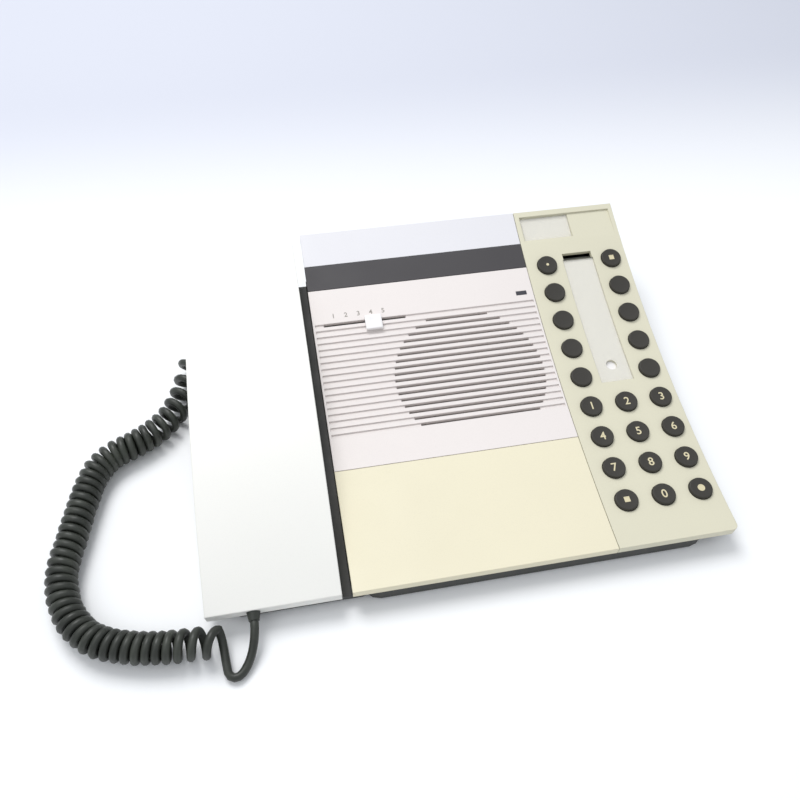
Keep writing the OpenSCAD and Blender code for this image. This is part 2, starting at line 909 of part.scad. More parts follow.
module base_tray() {
    color(charcoal)
        difference() {
            union() {
                main_tray();
                cradle_tray();
                wing();
                tray_posts();
                board_stands();
                switch_post();
            }
            screw_bores();
            foot_recesses();
            translate([deck_x1 - tray_wall - 1, cradle_y0 + 60, floor_z])
                cube([tray_x0 - deck_x1 + 2 * tray_wall + 2, passage_l, passage_h]);
            translate([line_x, tray_y1 - 2 * tray_wall, line_z])
                rotate([-90, 0, 0])
                    cylinder(r = line_bush_r + 0.1, h = 4 * tray_wall);
            translate([cradle_x0 - tray_wall, cord_exit_y, cord_exit_z])
                rotate([0, 90, 0])
                    cylinder(r = cord_bush_r + 0.1, h = 3 * tray_wall);
        }
}

// Walls under the body, up to the covers, lower under the front lip and the right-hand wing
module main_tray() {
    difference() {
        upright_box(tray_x0, tray_x1, tray_y0, tray_y1, foot_h, tray_top, tray_corner_r);
        upright_box(
            tray_x0 + tray_wall, tray_x1 - tray_wall, tray_y0 + tray_wall, tray_y1 - tray_wall,
            floor_z, tray_top + 1, tray_corner_r - tray_wall
        );
        above_top(wall + seat_gap);
        intersection() {
            above_top(lip_h + seat_gap);
            translate([tray_x0 - 1, tray_y0 - 1, floor_z])
                cube([tray_x1 - tray_x0 + 2, tray_wall + 2, tray_top]);
        }
        intersection() {
            above_top(label_depth + label_tub_t + joint);
            translate([label_x - label_side - joint, tray_y1 - tray_wall - 1, floor_z])
                cube([label_w + 2 * label_side + 2 * joint, tray_wall + 2, tray_top]);
        }
        intersection() {
            above_top(wing_depth + 0.5);
            translate([tray_x1 - tray_corner_r - 4, tray_y0 + tray_wall + 5, floor_z])
                cube([50, tray_y1 - tray_y0 - 2 * tray_wall - 10, tray_top]);
        }
    }
}

// Walls under the handset, up to the deck, and a low closed channel beside the body's left wall
module cradle_tray() {
    difference() {
        upright_box(
            cradle_x0, tray_x0 + tray_wall, cradle_y0, cradle_y1, foot_h, tray_top, tray_wall + 0.5
        );
        for (x = [[cradle_x0 + tray_wall, deck_x1 - tray_wall], [deck_x1, tray_x0]])
            upright_box(
                x[0], x[1], cradle_y0 + tray_wall, cradle_y1 - tray_wall,
                floor_z, tray_top + 1, 0.5
            );
        on_hand()
            translate([-10, -hand_l, deck_w - deck_t])
                cube([deck_x1 - left_x + 10, 2 * hand_l, 100]);
        intersection() {
            above_top(lip_h + 0.2);
            translate([deck_x1 - 0.5, front_y - 4, 0])
                cube([20, body_d, 1.5 * tray_top]);
        }
    }
}

// Undercut shelf that closes the slab under the right-hand keys
module wing() {
    x_in = tray_x1 - tray_wall;
    swept(wall + 0.2, wing_s1)
        polygon([
            [wing_depth, x_in], [wing_depth, wing_out_x - wing_slope - wing_side],
            [lip_h + 0.5, wing_out_x - wing_side], [lip_h + 0.1, wing_out_x - wing_side],
            [lip_h + 0.1, wing_out_x], [lip_h + 0.7, wing_out_x],
            [slab_t, wing_out_x - wing_slope], [slab_t, x_in]
        ]);
    for (s = [wall + 0.2, wing_s1 - tray_wall])
        swept(s, s + tray_wall)
            polygon([
                [wall + 0.1, x_in - 6], [wall + 0.1, body_x1 - wall - 0.2],
                [lip_h + 0.1, body_x1 - wall - 0.2], [lip_h + 0.1, wing_out_x],
                [lip_h + 0.7, wing_out_x], [slab_t, wing_out_x - wing_slope], [slab_t, x_in - 6]
            ]);
}

module tray_posts() {
    for (p = joint_places())
        translate([p[0], p[1], foot_h])
            cylinder(r = post_r, h = p[2] - foot_h);
}

module screw_bores() {
    for (p = joint_places())
        translate([p[0], p[1], 0]) {
            translate([0, 0, p[2] - seat_t - 1])
                cylinder(r = screw_r + screw_clear, h = seat_t + 2);
            cylinder(r = screw_head_r + 0.3, h = p[2] - seat_t);
        }
}

module case_screws() {
    color("silver")
        for (p = joint_places())
            translate([p[0], p[1], p[2] - seat_t]) {
                cylinder(r = screw_r, h = seat_t + (p[2] > deck_joint_z(p[1]) + 0.01 ? 3.5 : 2));
                translate([0, 0, -screw_head_h])
                    cylinder(r = screw_head_r, h = screw_head_h);
            }
}

// Feet under the floor's corners
foot_sink = 0.8;
feet = [
    [cradle_x0 + 12, cradle_y0 + 12], [cradle_x0 + 12, cradle_y1 - 12],
    [tray_x1 - 12, tray_y0 + 12], [tray_x1 - 12, tray_y1 - 12]
];

module foot_recesses() {
    for (p = feet)
        translate([p[0], p[1], foot_h - 1])
            cylinder(d = foot_d + 0.2, h = foot_sink + 1);
}

module rubber_feet() {
    color("#222222")
        for (p = feet)
            translate([p[0], p[1], 0])
                cylinder(d = foot_d, h = foot_h + foot_sink);
}

// Main board on four stands behind the loudspeaker
main_x0 = body_x0 + 23;
main_x1 = seam_x + 34;
main_y0 = tray_y1 - 40;
main_y1 = main_y0 + 26;
main_z = 8;
main_t = 1.6;
transformer = [20, 18, 14];
transformer_x = main_x1 - transformer[0] - 4;
can_r = 4;
can_h = 12;
can_pitch = 10;
chip = [16, 7, 4];
chip_count = 3;
chip_x0 = main_x0 + 14;
chip_x1 = transformer_x - 2 * can_pitch - chip[0];
chip_pitch = (chip_x1 - chip_x0) / (chip_count - 1);

module board_stands() {
    for (x = [main_x0 + 5, main_x1 - 5], y = [main_y0 + 5, main_y1 - 5])
        translate([x, y, foot_h])
            cylinder(r = 3, h = main_z - foot_h);
}

module main_board() {
    color(board_green)
        translate([main_x0, main_y0, main_z])
            cube([main_x1 - main_x0, main_y1 - main_y0, main_t]);
}

// Chips and capacitors on the main board
module board_parts() {
    color("#2b2b2b")
        translate([0, main_y0, main_z + main_t]) {
            for (k = [0 : chip_count - 1])
                translate([chip_x0 + chip_pitch * k, 9, 0])
                    cube(chip);
            for (k = [1, 2])
                translate([transformer_x + can_pitch / 2 - can_pitch * k, 7, 0])
                    cylinder(r = can_r, h = can_h);
        }
}

module line_transformer() {
    color("#6a5a3c")
        translate([transformer_x, main_y0 + 4, main_z + main_t])
            cube(transformer);
}

// Cable bush in the rear wall, where the line enters
line_x = seam_x - 23;
line_z = 16;
line_bush_r = 5;

module line_bush() {
    color("#222222")
        translate([line_x, tray_y1, line_z])
            rotate([-90, 0, 0])
                difference() {
                    union() {
                        translate([0, 0, -line_bush_l + 2.5])
                            cylinder(r = line_bush_r, h = line_bush_l);
                        cylinder(r = line_bush_r + 1.5, h = 2.5);
                    }
                    translate([0, 0, -line_bush_l])
                        cylinder(r = line_hole_r, h = 2 * line_bush_l);
                }
}

// Bush of the curly cord in the cradle's left wall
cord_bush_r = 3.6;

module cord_bush() {
    color("#222222")
        translate([cradle_x0, cord_exit_y, cord_exit_z])
            rotate([0, -90, 0]) {
                translate([0, 0, -tray_wall - 1.5])
                    cylinder(r = cord_bush_r, h = tray_wall + 1.5);
                cylinder(r = cord_bush_r + 1, h = 1.5);
                translate([0, 0, 1.5])
                    cylinder(r1 = cord_bush_r, r2 = strand_r + 0.6, h = bush_out - 1.5);
            }
}

// ---------- Cradle and hook ----------

ridge_half = grip_len / 2 - 3;

module cradle_deck() {
    color(charcoal)
        difference() {
            on_hand() {
                translate([deck_inset, deck_u0, deck_w - deck_t])
                    cube([deck_x1 - cradle_x0, deck_u1 - deck_u0, deck_t]);
                translate([16, -ridge_half, deck_w - 0.1])
                    cube([hand_w - 32, 2 * ridge_half, grip_depth + 0.1]);
                deck_bosses();
            }
            translate([left_x + hook_x, hook_y, hook_z - 10])
                cylinder(r = hook_r + hook_gap, h = 20);
            for (p = deck_posts)
                translate([p[0], p[1], deck_joint_z(p[1]) - 1])
                    cylinder(r = screw_r + screw_clear, h = 4);
        }
}

// Short bosses under the deck, upright like the screws
module deck_bosses() {
    rotate([-hand_tilt, 0, 0])
        translate([-left_x, -hand_y, -hand_z])
            difference() {
                for (p = deck_posts)
                    translate([p[0], p[1], deck_joint_z(p[1])])
                        cylinder(r = boss_r, h = deck_boss_h + 1);
                on_hand()
                    translate([-10, -hand_l, deck_w - deck_t / 2])
                        cube([hand_w + 40, 2 * hand_l, 100]);
            }
}

// Plunger that the resting handset holds down
module hook_plunger() {
    color("#d8d8d0")
        translate([left_x + hook_x, hook_y, hook_z - hook_l]) {
            cylinder(r = hook_r, h = hook_l - 0.7);
            translate([0, 0, hook_l - deck_t - hook_rise - 3])
                cylinder(r = hook_r + 1.5, h = 1.5);
        }
}

module switch_post() {
    translate([left_x + hook_x - switch_l / 4, hook_y - switch_l / 2, foot_h])
        cube([switch_l / 2, switch_l, switch_top_z - switch_h - foot_h]);
}

module hook_switch() {
    color("#202020")
        translate([left_x + hook_x - switch_w / 2, hook_y - switch_l / 2, switch_top_z - switch_h])
            cube([switch_w, switch_l, switch_h]);
}

// ---------- Handset ----------

hand_r = (pow(hand_l / 2, 2) + pow(hand_arch, 2)) / (2 * hand_arch);
split_w = -2;
recess_w = -hand_end_t + grip_depth;
pocket_u = grip_len / 2 + 9;
receiver_u = pocket_u + receiver_d / 2 + 1;
transmitter_u = -pocket_u - transmitter_d / 2 - 9;
hand_screw_u = 26;

// Side outline of the handset, drawn in [along, up], drawn in by a wall
module hand_outline(inset, low) {
    intersection() {
        translate([0, hand_arch - hand_r])
            circle(r = hand_r - inset, $fn = arc_fn);
        translate([-hand_l / 2 + inset, low])
            square([hand_l - 2 * inset, hand_arch - low + 1]);
    }
}

module hand_bar(inset, low) {
    translate([inset, 0, 0])
        rotate([90, 0, 90])
            linear_extrude(hand_w - 2 * inset)
                hand_outline(inset, low);
}

module handset_upper() {
    color(off_white)
        on_hand()
            difference() {
                union() {
                    difference() {
                        hand_bar(0, split_w);
                        hand_bar(hand_wall, split_w - 1);
                    }
                    intersection() {
                        for (u = [-hand_screw_u, hand_screw_u])
                            translate([hand_w / 2, u, split_w])
                                cylinder(r = 4, h = hand_arch);
                        hand_bar(hand_wall / 2, split_w);
                    }
                }
                for (u = [-hand_screw_u, hand_screw_u])
                    translate([hand_w / 2, u, split_w - 1])
                        cylinder(r = screw_r + screw_clear, h = 9);
                bush_bore();
            }
}

// Underside of the handset with the ear and mouth pieces and the grip between them
module handset_lower() {
    color(off_white)
        on_hand()
            difference() {
                translate([0, -hand_l / 2, -hand_end_t])
                    cube([hand_w, hand_l, hand_end_t + split_w]);
                grip_recess();
                for (k = [-1, 1])
                    translate([
                        hand_wall,
                        k > 0 ? pocket_u : -hand_l / 2 + hand_wall,
                        -hand_end_t + hand_wall
                    ])
                        cube([hand_w - 2 * hand_wall, hand_l / 2 - hand_wall - pocket_u, hand_end_t]);
                ear_holes();
                mouth_holes();
                hand_screw_bores();
                bush_bore();
            }
}

// Bore of the cord's bush, half in each shell
module bush_bore() {
    translate([hand_exit_x, -hand_l / 2 - 1, hand_exit_w])
        rotate([-90, 0, 0])
            cylinder(r = hand_bush_r, h = hand_bush_l + 1.2);
}

module grip_recess() {
    translate([-1, 0, 0])
        rotate([90, 0, 90])
            linear_extrude(hand_w + 2)
                polygon([
                    [-grip_len / 2 - 8, -hand_end_t - 0.01], [-grip_len / 2, recess_w],
                    [grip_len / 2, recess_w], [grip_len / 2 + 8, -hand_end_t - 0.01]
                ]);
}

module ear_holes() {
    translate([hand_w / 2, receiver_u, -hand_end_t - 1]) {
        cylinder(r = 1.25, h = 5);
        for (a = [0 : 60 : 300])
            rotate(a)
                translate([6, 0, 0])
                    cylinder(r = 1.25, h = 5);
    }
}

module mouth_holes() {
    for (k = [-1, 0, 1])
        translate([hand_w / 2 + 6 * k, transmitter_u, -hand_end_t - 1])
            cylinder(r = 1.25, h = 5);
}

module hand_screw_bores() {
    for (u = [-hand_screw_u, hand_screw_u])
        translate([hand_w / 2, u, recess_w - 1]) {
            cylinder(r = screw_r + screw_clear, h = 6);
            cylinder(r = screw_head_r, h = 1.8);
        }
}

module handset_screws() {
    color("silver")
        on_hand()
            for (u = [-hand_screw_u, hand_screw_u])
                translate([hand_w / 2, u, recess_w]) {
                    cylinder(r = screw_head_r - 0.2, h = 0.8);
                    cylinder(r = screw_r, h = 9);
                }
}

module receiver_capsule() {
    color("dimgray")
        on_hand()
            translate([hand_w / 2, receiver_u, -hand_end_t + hand_wall]) {
                cylinder(d = receiver_d, h = 4.5);
                cylinder(d = receiver_d - 8, h = 7);
            }
}

module transmitter_capsule() {
    color("dimgray")
        on_hand()
            translate([hand_w / 2, transmitter_u, -hand_end_t + hand_wall]) {
                cylinder(d = transmitter_d, h = 4);
                cylinder(d = transmitter_d - 8, h = 6);
            }
}

hand_bush_r = 2.4;
hand_bush_l = hand_wall + 1.5;

module handset_bush() {
    color("#222222")
        on_hand()
            translate([hand_exit_x, -hand_l / 2, hand_exit_w])
                rotate([90, 0, 0]) {
                    translate([0, 0, -hand_bush_l])
                        cylinder(r = hand_bush_r - 0.1, h = hand_bush_l);
                    cylinder(r1 = hand_bush_r + 0.8, r2 = strand_r + 0.5, h = 4);
                }
}

// ---------- Curly cord ----------

function unit(v) = v / norm(v);
function at(i) = [cord_route[i][0], cord_route[i][1], cord_route[i][2]];

// One solid of the coil's outer shape, with a thin strand at each end
module curly_cord() {
    n = len(cord_route);
    m = cord_sides;
    pts = [for (i = [0 : n - 1])
        let (d = unit(at(min(i + 1, n - 1)) - at(max(i - 1, 0))))
        let (side = unit(cross(d, [0, 0, 1])))
        let (up = cross(side, d))
        for (k = [0 : m - 1])
            at(i) + cord_route[i][3] * (cos(360 * k / m) * side + sin(360 * k / m) * up)];
    faces = concat(
        [[for (k = [0 : m - 1]) k]],
        [for (i = [0 : n - 2]) for (k = [0 : m - 1])
            [i * m + k, (i + 1) * m + k, (i + 1) * m + (k + 1) % m, i * m + (k + 1) % m]],
        [[for (k = [m - 1 : -1 : 0]) (n - 1) * m + k]]
    );
    color("#2e302c")
        polyhedron(points = pts, faces = faces, convexity = 6);
}

// ---------- Drawing ----------

base_tray();
cradle_deck();
rear_cover();
grille_cover();
front_panel();
keypad_cover();
display_window();
lamp_board();
label_lens();
index_lens();
name_cards();
call_lamp();
speaker_frame();
speaker_cone();
speaker_magnet();
speaker_cloth();
mic_capsule();
key_mats();
key_boards();
main_board();
board_parts();
line_transformer();
volume_slider();
hook_switch();
case_screws();
rubber_feet();
line_bush();
cord_bush();
curly_cord();
volume_knob();
hook_plunger();
handset_upper();
handset_lower();
receiver_capsule();
transmitter_capsule();
handset_screws();
handset_bush();
for (row = concat(digit_names, line_names), name = row)
    key_named(name);
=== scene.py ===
# %% [markdown]
# # A desk intercom with a handset on a curly cord
# The object is a low slab whose top dips like a shallow dish from back to front. Pale covers lie on a
# dark tray, round dark keys stand in a cream strip on the right, and a flat handset rests on the left.
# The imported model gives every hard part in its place. This notebook dresses those parts: it sets the
# camera, winds the cord, models the pieces whose edges and faces the eye reads, and mixes the finishes.

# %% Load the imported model
import math

import bpy
from mathutils import Matrix, Vector


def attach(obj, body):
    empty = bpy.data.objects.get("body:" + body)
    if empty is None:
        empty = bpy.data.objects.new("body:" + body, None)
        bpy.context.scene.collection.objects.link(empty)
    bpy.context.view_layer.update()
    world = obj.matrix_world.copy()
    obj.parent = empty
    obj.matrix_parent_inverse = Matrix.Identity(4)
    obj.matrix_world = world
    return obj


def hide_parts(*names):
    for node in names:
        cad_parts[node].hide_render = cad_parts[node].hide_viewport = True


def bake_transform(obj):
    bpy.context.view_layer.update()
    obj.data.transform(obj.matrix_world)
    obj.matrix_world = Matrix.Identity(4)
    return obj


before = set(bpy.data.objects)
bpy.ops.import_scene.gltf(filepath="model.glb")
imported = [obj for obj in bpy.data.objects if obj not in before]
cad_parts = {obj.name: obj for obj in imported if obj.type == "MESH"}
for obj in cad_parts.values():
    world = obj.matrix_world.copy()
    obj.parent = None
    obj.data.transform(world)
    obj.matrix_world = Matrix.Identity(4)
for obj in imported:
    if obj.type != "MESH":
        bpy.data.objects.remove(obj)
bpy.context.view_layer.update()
bpy.ops.object.select_all(action="DESELECT")
scene = bpy.context.scene
MM = 0.001

# %% [markdown]
# The dished top is one arc of a large circle seen from the side. Every place on it is given by how far
# along the arc it lies from the front edge, as the maker's drawing would. One small function turns such a
# place into a matrix whose Z axis stands square on the surface, so a mark or a key needs no other sums.

# %% Places on the dished top
DISH_R = 633.0
FRONT_Y = -105.95
FRONT_H = 14.0
SEAM_X = 67.5
REAR_S = 213.0


def on_top(x, s, h=0.0):
    a = s / DISH_R
    place = Vector((x, FRONT_Y + DISH_R * math.sin(a), FRONT_H + DISH_R * (1 - math.cos(a)))) * MM
    return Matrix.Translation(place) @ Matrix.Rotation(a, 4, "X") @ Matrix.Translation((0, 0, h * MM))


print("rear edge at", [round(v, 4) for v in on_top(0, REAR_S).translation])

# %% [markdown]
# The camera stands in front, a little to the left, and looks down at about fifty degrees. Its place and
# lens were found by fitting the centres of the 22 keys and the corners of the covers to the photograph,
# so each key of the model falls within about a pixel of its key in the picture.

# %% Camera
camera_data = bpy.data.cameras.new("camera")
camera_data.sensor_fit = "HORIZONTAL"
camera_data.sensor_width = 36.0
camera_data.lens = 33.845
camera_data.clip_start = 0.01
camera_data.shift_x = -0.0007
camera_data.shift_y = -0.00104
camera = bpy.data.objects.new("camera", camera_data)
scene.collection.objects.link(camera)
right = Vector((0.98297, -0.18236, 0.02268))
down = Vector((-0.13166, -0.78497, -0.60538))
ahead = Vector((0.1282, 0.59208, -0.79561))
turn = Matrix((right, -down, -ahead)).transposed().to_4x4()
camera.matrix_world = Matrix.Translation(Vector((-73.6, -245.0, 344.3)) * MM) @ turn
scene.camera = camera
print("camera", [round(v, 3) for v in camera.location])

# %% [markdown]
# Four helpers keep the work tidy. The first makes a piece the only selected and active object, because an
# operator acts on all that is selected. The second puts a finished piece's place into its mesh, gives it
# its material and lets it ride on a body of the model, standing for the solids that it replaces. The last
# two smooth a piece's faces and copy a piece.


# %% Helpers for pieces
def select_only(piece):
    if bpy.context.object and bpy.context.object.mode != "OBJECT":
        bpy.ops.object.mode_set(mode="OBJECT")
    bpy.ops.object.select_all(action="DESELECT")
    piece.select_set(True)
    bpy.context.view_layer.objects.active = piece


def finish_piece(piece, body, material, replaced=(), place=None):
    if place is not None:
        piece.data.transform(place)
    piece.data.materials.clear()
    piece.data.materials.append(material)
    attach(piece, body)
    if replaced:
        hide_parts(*replaced)
    return piece


def smooth(piece, degrees=35):
    select_only(piece)
    bpy.ops.object.shade_smooth_by_angle(angle=math.radians(degrees))


def copy_of(piece, name):
    twin = piece.copy()
    twin.data = piece.data.copy()
    twin.name = name
    scene.collection.objects.link(twin)
    return twin


print("helpers ready")

# %% [markdown]
# A curly cord is one round strand wound on a mandrel. It could be bent from a curve with a screw
# modifier, but its coil has to follow a lazy route over the table and open up where it is stretched.
# So the route is walked in small steps, an angle grows with each step as fast as the turns lie close,
# and the strand's centre is set off from the route by that angle. A ring of points round the strand at
# each step makes the tube. The route is the one in the part's source, except that its first turns lie up
# to seven millimetres further out, where the photograph shows them. The head and the tail are the plain
# ends of the strand that enter the two bushes, and they lie up to five millimetres beside the source's
# route. All numbers of the route are in millimetres.

# %% Route of the curly cord
COIL_ROUTE = [
    (-132, 54, 8.2), (-135, 45, 8.2), (-137, 35, 8.2), (-140, 25, 8.2),
    (-145, 15, 8.2), (-153, 6, 8.2), (-164, -1, 8.2), (-176, -7, 8.2),
    (-184, -17, 8.2), (-189, -34, 8.2), (-193, -53, 8.2), (-196, -68, 8.2),
    (-195, -81, 8.2), (-190, -94, 8.2), (-180, -105, 8.2), (-166, -111, 8.2),
    (-151, -114, 8.2), (-138, -115, 8.2), (-129, -115.5, 8.2), (-123, -117, 8.2),
]
HEAD = [(-126.3, 62.0, 8.0), (-128.3, 61.8, 8.0), (-131.0, 60.5, 7.7), (-134.0, 57.8, 6.6)]
TAIL = [
    (-122.5, -125, 3.6), (-121.5, -130, 2.6), (-117.5, -131, 2.4), (-113.5, -127, 3.0),
    (-110.6, -121.5, 5.0), (-109.0, -116, 7.8), (-108.5, -112.5, 9.1), (-108.5, -109.7, 9.3),
]
STRAND_R = 2.0
WIND_R = 6.0


def smooth_line(points, step):
    """A rounded line through the points, with a point about every step."""
    pts = [Vector(p) for p in points]
    pts = [2 * pts[0] - pts[1]] + pts + [2 * pts[-1] - pts[-2]]
    fine = []
    for i in range(1, len(pts) - 2):
        a, b, c, d = pts[i - 1:i + 3]
        n = max(2, int((c - b).length / step))
        for k in range(n):
            t = k / n
            fine.append(0.5 * (2 * b + (c - a) * t + (2 * a - 5 * b + 4 * c - d) * t * t
                               + (3 * b - a - 3 * c + d) * t * t * t))
    fine.append(pts[-2])
    return fine


coil_line = smooth_line(COIL_ROUTE, 0.35)
coil_length = sum((b - a).length for a, b in zip(coil_line, coil_line[1:]))
print("coil centreline", round(coil_length, 1), "mm")

# %% [markdown]
# The turns lie close together over most of the cord. They are open at both ends: in the first turns, beside
# the tray under the handset's edge, and again at the front, where the strand leaves the coil. The places
# where the plain ends meet the coil are eased, so that the strand has no kink.


# %% Wind the strand
CLOSE_PITCH = 4.4
MID_PITCH, OPEN_PITCH = 9.0, 13.0
OPEN_END, LOOSE_END = 26, 60
FRONT_LOOSE = 24


def pitch_at(t):
    """Distance between two turns at t millimetres along the coil."""
    if t < OPEN_END:
        return OPEN_PITCH - (OPEN_PITCH - MID_PITCH) * t / OPEN_END
    if t < LOOSE_END:
        return MID_PITCH - (MID_PITCH - CLOSE_PITCH) * (t - OPEN_END) / (LOOSE_END - OPEN_END)
    if t > coil_length - FRONT_LOOSE:
        return CLOSE_PITCH + 0.2 * (t - coil_length + FRONT_LOOSE)
    return CLOSE_PITCH


def wind(line):
    up = Vector((0, 0, 1))
    strand, angle, t = [], math.radians(200), 0.0
    for i, p in enumerate(line):
        ahead_i, back_i = line[min(i + 1, len(line) - 1)], line[max(i - 1, 0)]
        along = (ahead_i - back_i).normalized()
        side = along.cross(up).normalized()
        lift = side.cross(along)
        fade = min(1.0, t / 4 + 0.55, (coil_length - t) / 4 + 0.55)
        wobble = 0.35 * math.sin(t * 0.37) + 0.2 * math.sin(t * 0.91 + 1)
        reach = (WIND_R + 0.2 * wobble - 0.3) * fade
        strand.append(p + reach * (math.cos(angle) * side + math.sin(angle) * lift))
        if i + 1 < len(line):
            step = (line[i + 1] - p).length
            t += step
            angle += 2 * math.pi * step / (pitch_at(t) + 0.2 * wobble)
    return strand


wound = wind(coil_line)
strand_line = smooth_line(HEAD + [wound[0]], 1.2)[:-1] + wound + smooth_line([wound[-1]] + TAIL, 1.2)[1:]


def even(points, step):
    """The same line with points at even distances."""
    out, left = [points[0]], step
    for a, b in zip(points, points[1:]):
        d = (b - a).length
        while d >= left:
            a = a + (b - a) * (left / d)
            d = (b - a).length
            out.append(a)
            left = step
        left -= d
    if (out[-1] - points[-1]).length > step * 0.3:
        out.append(points[-1])
    else:
        out[-1] = points[-1]
    return out


def eased(line, middle, reach, passes=30):
    """The same line with the bends round one place eased."""
    line = [p.copy() for p in line]
    for _ in range(passes):
        before = [p.copy() for p in line]
        for i in range(max(1, middle - reach), min(len(line) - 1, middle + reach)):
            line[i] = 0.5 * before[i] + 0.25 * (before[i - 1] + before[i + 1])
    return line


def nearest(line, place):
    return min(range(len(line)), key=lambda i: (line[i] - place).length)


strand_line = even(strand_line, 1.5)
for place in (wound[0], wound[-1]):
    strand_line = eased(strand_line, nearest(strand_line, place), 7)
strand_line = even(strand_line, 2.0)


# %% [markdown]
# The strand's skin is a tube of ten-sided rings along that line. Each ring's first spoke is carried on from
# the ring before it, so the tube doesn't twist, and both ends are closed.


# %% Make the tube
def tube(name, line, radius, sides=10):
    verts, faces = [], []
    along = (line[1] - line[0]).normalized()
    side = along.orthogonal().normalized()
    for i, p in enumerate(line):
        new_along = (line[min(i + 1, len(line) - 1)] - line[max(i - 1, 0)]).normalized()
        side = (side - side.dot(new_along) * new_along).normalized()
        lift = new_along.cross(side)
        for k in range(sides):
            a = 2 * math.pi * k / sides
            verts.append((p + radius * (math.cos(a) * side + math.sin(a) * lift)) * MM)
    for i in range(len(line) - 1):
        for k in range(sides):
            a, b = i * sides + k, i * sides + (k + 1) % sides
            faces.append((a, b, b + sides, a + sides))
    last = (len(line) - 1) * sides
    faces.append(tuple(range(sides - 1, -1, -1)))
    faces.append(tuple(range(last, last + sides)))
    mesh = bpy.data.meshes.new(name)
    mesh.from_pydata(verts, [], faces)
    mesh.update()
    piece = bpy.data.objects.new(name, mesh)
    scene.collection.objects.link(piece)
    select_only(piece)
    bpy.ops.object.mode_set(mode="EDIT")
    bpy.ops.mesh.select_all(action="SELECT")
    bpy.ops.mesh.normals_make_consistent(inside=False)
    bpy.ops.object.mode_set(mode="OBJECT")
    smooth(piece, 50)
    return piece


cord = tube("coiled_cord", strand_line, STRAND_R)
print("cord faces", len(cord.data.polygons))

# %% [markdown]
# Most finishes here are moulded plastic. Real moulded plastic is never one flat colour: it has a fine
# grain from the mould, a slow drift of tone from ageing, a gloss that changes where hands have rubbed it,
# and edges that are a little round. All of that is mixed from noise at different scales. A Bevel node
# rounds the light over the sharp edges of the solids.


# %% Mixing a finish
def linear(r, g, b):
    def one(v):
        v /= 255
        return v / 12.92 if v <= 0.04045 else ((v + 0.055) / 1.055) ** 2.4
    return (one(r), one(g), one(b), 1.0)


def shade(colour, k):
    return tuple(min(1.0, c * k) for c in colour[:3]) + (1.0,)


def new_finish(name):
    finish = bpy.data.materials.new(name)
    finish.use_nodes = True
    nodes, links = finish.node_tree.nodes, finish.node_tree.links
    nodes.clear()
    out = nodes.new("ShaderNodeOutputMaterial")
    skin = nodes.new("ShaderNodeBsdfPrincipled")
    links.new(skin.outputs["BSDF"], out.inputs["Surface"])
    return finish, nodes, links, skin


def noise(nodes, links, scale, detail=3.0, rough=0.5, stretch=None):
    where = nodes.new("ShaderNodeTexCoord")
    pattern = nodes.new("ShaderNodeTexNoise")
    pattern.inputs["Scale"].default_value = scale
    pattern.inputs["Detail"].default_value = detail
    pattern.inputs["Roughness"].default_value = rough
    if stretch:
        mapping = nodes.new("ShaderNodeMapping")
        mapping.inputs["Scale"].default_value = stretch
        links.new(where.outputs["Object"], mapping.inputs["Vector"])
        links.new(mapping.outputs["Vector"], pattern.inputs["Vector"])
    else:
        links.new(where.outputs["Object"], pattern.inputs["Vector"])
    return pattern


def ramp(nodes, links, source, low, high, start=0.3, end=0.7):
    band = nodes.new("ShaderNodeValToRGB")
    band.color_ramp.elements[0].position = start
    band.color_ramp.elements[0].color = low
    band.color_ramp.elements[1].position = end
    band.color_ramp.elements[1].color = high
    links.new(source, band.inputs["Fac"])
    return band


def spread(nodes, links, source, low, high):
    span = nodes.new("ShaderNodeMapRange")
    span.inputs["From Min"].default_value = 0.3
    span.inputs["From Max"].default_value = 0.7
    span.inputs["To Min"].default_value = low
    span.inputs["To Max"].default_value = high
    links.new(source, span.inputs["Value"])
    return span


def plastic(name, colour, rough=0.45, drift=0.03, speckle=0.04, grain=3200, depth=0.00002, edge=0.0004,
            gloss=0.4):
    """Moulded plastic: slow drift of tone, fine speckle, grain from the mould and rounded edges."""
    finish, nodes, links, skin = new_finish(name)
    slow = noise(nodes, links, 14, 2.0)
    tones = ramp(nodes, links, slow.outputs["Fac"], shade(colour, 1 - drift), shade(colour, 1 + drift))
    specks = noise(nodes, links, grain * 0.6, 2.0, 0.6)
    white = (1, 1, 1, 1)
    dots = ramp(nodes, links, specks.outputs["Fac"], shade(white, 1 - speckle), white, 0.32, 0.5)
    mix = nodes.new("ShaderNodeMix")
    mix.data_type = "RGBA"
    mix.blend_type = "MULTIPLY"
    mix.inputs["Factor"].default_value = 1.0
    links.new(tones.outputs["Color"], mix.inputs["A"])
    links.new(dots.outputs["Color"], mix.inputs["B"])
    links.new(mix.outputs["Result"], skin.inputs["Base Color"])
    worn = noise(nodes, links, 45, 4.0, 0.6)
    shine = spread(nodes, links, worn.outputs["Fac"], rough - 0.06, rough + 0.08)
    links.new(shine.outputs["Result"], skin.inputs["Roughness"])
    skin.inputs["Specular IOR Level"].default_value = gloss
    grit = noise(nodes, links, grain, 2.0)
    bump = nodes.new("ShaderNodeBump")
    bump.inputs["Strength"].default_value = 0.35
    bump.inputs["Distance"].default_value = depth
    links.new(grit.outputs["Fac"], bump.inputs["Height"])
    if edge:
        soft = nodes.new("ShaderNodeBevel")
        soft.samples = 4
        soft.inputs["Radius"].default_value = edge
        links.new(soft.outputs["Normal"], bump.inputs["Normal"])
    links.new(bump.outputs["Normal"], skin.inputs["Normal"])
    return finish


